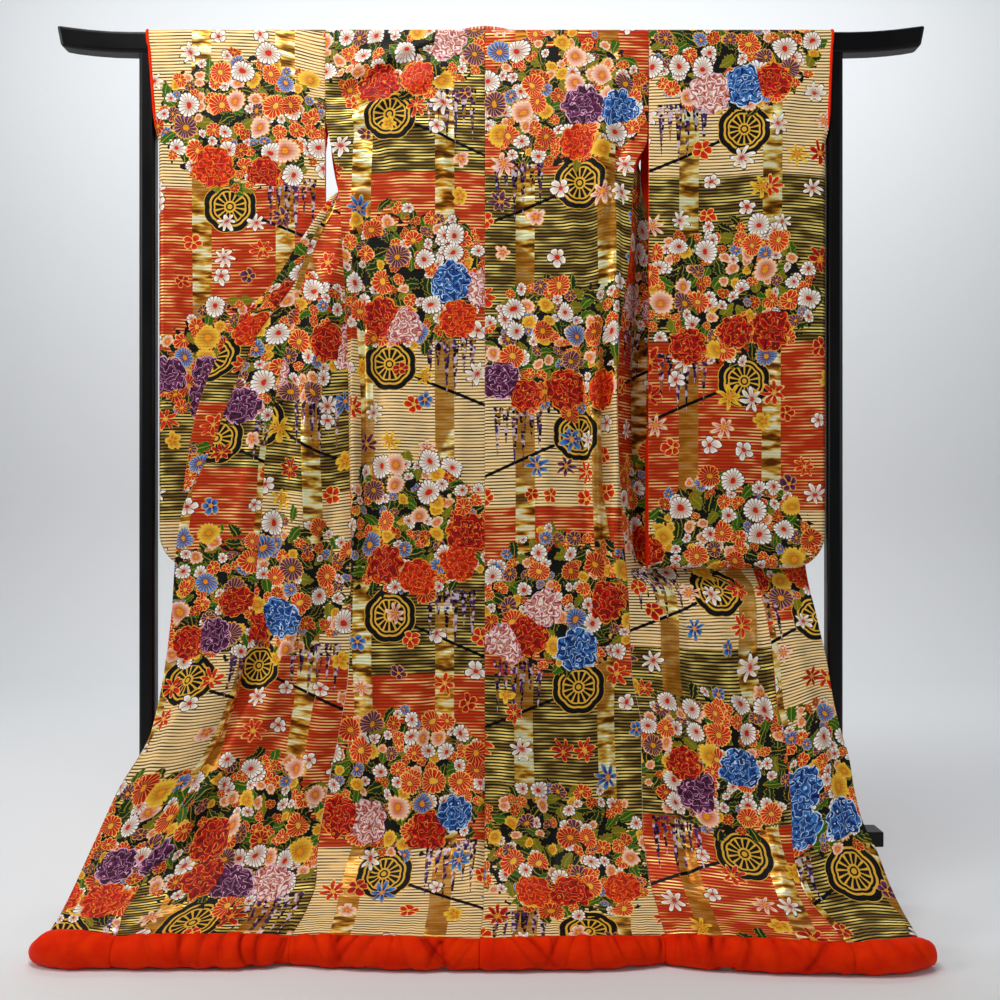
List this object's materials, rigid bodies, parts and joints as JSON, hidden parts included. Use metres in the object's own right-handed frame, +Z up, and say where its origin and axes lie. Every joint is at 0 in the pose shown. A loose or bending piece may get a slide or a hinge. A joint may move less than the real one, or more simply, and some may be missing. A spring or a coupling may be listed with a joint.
{
  "type": "wedding over-kimono hung on a lacquered kimono stand",
  "caption": "Brocade wedding over-kimono with long sleeves and a padded trailing hem, hung back to front on a black lacquered stand with an upturned top bar.",
  "frame": {"origin": "on the floor, midway between the ends of the stand's bar and midway between the front of the hem roll and the rear ends of the feet", "axes": "+X along the bar to the viewer's right, +Y from the shown back of the garment towards the wall, +Z up"},
  "size_m": [1.6876, 0.5325, 1.7166],
  "materials": {
    "back_left": "gold and silk brocade",
    "back_right": "gold and silk brocade",
    "front_left": "gold and silk brocade",
    "front_right": "gold and silk brocade",
    "overlap_left": "gold and silk brocade",
    "overlap_right": "gold and silk brocade",
    "collar_left": "gold and silk brocade",
    "collar_right": "gold and silk brocade",
    "sleeve_left": "gold and silk brocade",
    "sleeve_right": "gold and silk brocade",
    "hem_roll_overlap_left": "padded red silk",
    "hem_roll_front_left": "padded red silk",
    "hem_roll_back_left": "padded red silk",
    "hem_roll_back_right": "padded red silk",
    "hem_roll_front_right": "padded red silk",
    "hem_roll_overlap_right": "padded red silk",
    "stand_top_bar": "black lacquer",
    "stand_post_left": "black lacquer",
    "stand_post_right": "black lacquer",
    "stand_low_rail": "black lacquer",
    "stand_foot_left": "black lacquer",
    "stand_foot_right": "black lacquer"
  },
  "bodies": {
    "root": {"back_left": "back_left", "back_right": "back_right", "front_left": "front_left", "front_right": "front_right", "overlap_left": "overlap_left", "overlap_right": "overlap_right", "collar_left": "collar_left", "collar_right": "collar_right", "sleeve_left": "sleeve_left", "sleeve_right": "sleeve_right", "hem_roll_overlap_left": "hem_roll_overlap_left", "hem_roll_front_left": "hem_roll_front_left", "hem_roll_back_left": "hem_roll_back_left", "hem_roll_back_right": "hem_roll_back_right", "hem_roll_front_right": "hem_roll_front_right", "hem_roll_overlap_right": "hem_roll_overlap_right", "stand_top_bar": "stand_top_bar", "stand_post_left": "stand_post_left", "stand_post_right": "stand_post_right", "stand_low_rail": "stand_low_rail", "stand_foot_left": "stand_foot_left", "stand_foot_right": "stand_foot_right"}
  },
  "joints": []
}
